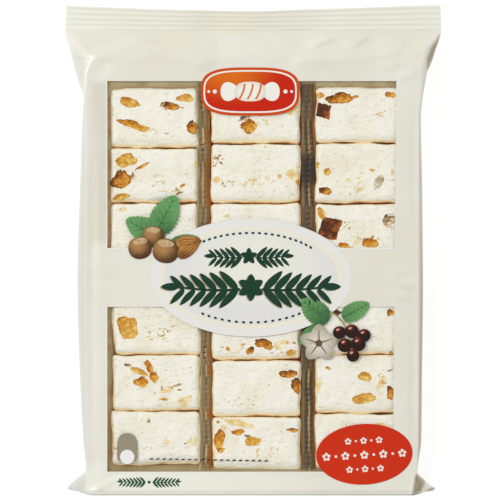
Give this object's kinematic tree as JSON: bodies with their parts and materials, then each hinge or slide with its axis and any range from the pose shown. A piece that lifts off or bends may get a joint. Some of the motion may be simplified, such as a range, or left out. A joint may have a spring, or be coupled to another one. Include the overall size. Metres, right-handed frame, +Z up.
{
  "type": "pack of nougat bars",
  "caption": "Sealed flat pillow pack with clear windows that show nougat bars with nuts and fruit lying in a tray; it rests on its back.",
  "frame": {"origin": "on the surface that the pack lies on, under the middle of its box", "axes": "+Z up out of the windowed face, +Y along the pack towards the flat crimped seal, +X across it to the right as seen from above"},
  "size_m": [0.1842, 0.2397, 0.0176],
  "materials": {
    "printed_film": "satin cream film with crimped seals and soft folds",
    "clear_film": "thin clear glossy film over the windows",
    "tray_plastic": "clear thermoformed tray with corrugated ribs between its columns",
    "nougat": "matt, finely porous, off-white with faint crumb marks",
    "nut": "cut roasted nuts, golden to brown, granular",
    "dried_fruit": "dark brown jelly-like fruit pieces, slightly glossy",
    "print_pale": "printed pale grey and cream label fields",
    "print_red": "printed red and orange fields with a soft gradient",
    "print_green": "printed dark green bars and mid green leaves",
    "print_brown": "printed nuts and round fruit in browns"
  },
  "bodies": {
    "root": {"nougat_pack": "printed_film"}
  },
  "joints": []
}
